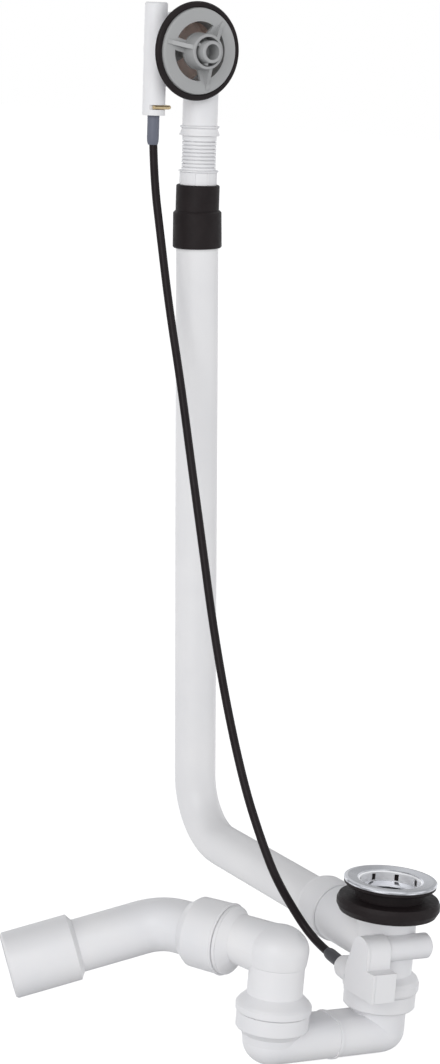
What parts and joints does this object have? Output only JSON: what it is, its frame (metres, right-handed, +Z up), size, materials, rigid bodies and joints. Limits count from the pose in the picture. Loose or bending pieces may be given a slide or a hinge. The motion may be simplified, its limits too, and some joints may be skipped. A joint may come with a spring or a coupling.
{
  "type": "bath waste and overflow set",
  "caption": "Bath waste with chrome flange, rubber seals, low trap and bent outlet, joined by a tall pipe to an overflow head whose turning drive works a lift pin through a cable.",
  "frame": {"origin": "centre of the chrome waste flange, in the plane of its top", "axes": "+Z up along the waste axis, +Y from the waste towards the overflow pipe, +X away from the trap outlet"},
  "size_m": [0.2977, 0.3607, 0.7657],
  "materials": {
    "white_plastic": "satin moulded polypropylene",
    "black_rubber": "matt moulded rubber",
    "grey_plastic": "matt moulded plastic",
    "blue_grey_plastic": "matt moulded plastic",
    "inner_plastic": "plain moulded plastic",
    "steel": "bright drawn",
    "cable_sheath": "satin extruded sheath",
    "chrome": "polished chrome plate",
    "brass": "drawn wire"
  },
  "bodies": {
    "set": {"waste_body": "white_plastic", "lift_cover": "white_plastic", "overflow_pipe": "white_plastic", "pipe_nut": "white_plastic", "overflow_body": "white_plastic", "trap_nut": "white_plastic", "waste_seal": "black_rubber", "overflow_seal": "black_rubber", "pipe_sleeve": "black_rubber", "pipe_seal": "black_rubber", "trap_washer": "black_rubber", "overflow_flange": "grey_plastic", "cable_end_top": "blue_grey_plastic", "cable_end_bottom": "blue_grey_plastic", "cable_wire": "steel", "cable": "cable_sheath", "valve_seat": "chrome", "cable_clip": "brass"},
    "drive": {"drive_quadrant": "grey_plastic"},
    "rack": {"drive_rack": "inner_plastic"},
    "rod": {"pull_rod": "inner_plastic"},
    "lift": {"lift_shaft": "inner_plastic", "lift_finger": "inner_plastic"},
    "pin": {"lift_pin": "steel"},
    "trap": {"trap_bowl": "white_plastic", "riser_seal": "black_rubber"},
    "riser": {"trap_outlet": "white_plastic", "outlet_nut": "white_plastic", "outlet_seal": "black_rubber"},
    "outlet": {"outlet_elbow": "white_plastic"}
  },
  "joints": [
    {"name": "drive_turn", "type": "hinge", "parent": "set", "child": "drive", "pos_m": [-0.06748, 0.27383, 0.59213], "axis": [0.0749, -0.9972, 0.0043], "range_deg": [-22.5, 22.5]},
    {"name": "rack_slide", "type": "slide", "parent": "set", "child": "rack", "axis": [-0.0576, 0, 0.9983], "range_m": [-0.00815, 0.00815]},
    {"name": "rod_slide", "type": "slide", "parent": "set", "child": "rod", "axis": [0, 0.9945, 0.1045], "range_m": [-0.00815, 0.00815]},
    {"name": "lift_turn", "type": "hinge", "parent": "set", "child": "lift", "pos_m": [0, -0.0225, -0.0465], "axis": [1, 0, 0], "range_deg": [-17.62, 17.62]},
    {"name": "pin_slide", "type": "slide", "parent": "set", "child": "pin", "axis": [0, 0, 1], "range_m": [-0.00708, 0.00708]},
    {"name": "trap_swivel", "type": "hinge", "parent": "set", "child": "trap", "pos_m": [0, 0, -0.095], "axis": [0, 0, 1], "range_deg": [-15, 15]},
    {"name": "riser_swivel", "type": "hinge", "parent": "trap", "child": "riser", "pos_m": [-0.0919, 0, -0.095], "axis": [0, 0, 1], "range_deg": [-20, 25]},
    {"name": "outlet_swivel", "type": "hinge", "parent": "riser", "child": "outlet", "pos_m": [-0.12144, 0.05222, -0.05], "axis": [-0.4924, 0.8704, 0], "range_deg": [-30, 30]}
  ],
  "couplings": [
    {"joint": "rack_slide", "follows": "drive_turn", "m_per_rad": -0.02025},
    {"joint": "rod_slide", "follows": "drive_turn", "m_per_rad": -0.02025},
    {"joint": "lift_turn", "follows": "drive_turn", "ratio": -0.77885},
    {"joint": "pin_slide", "follows": "drive_turn", "m_per_rad": -0.017524}
  ]
}
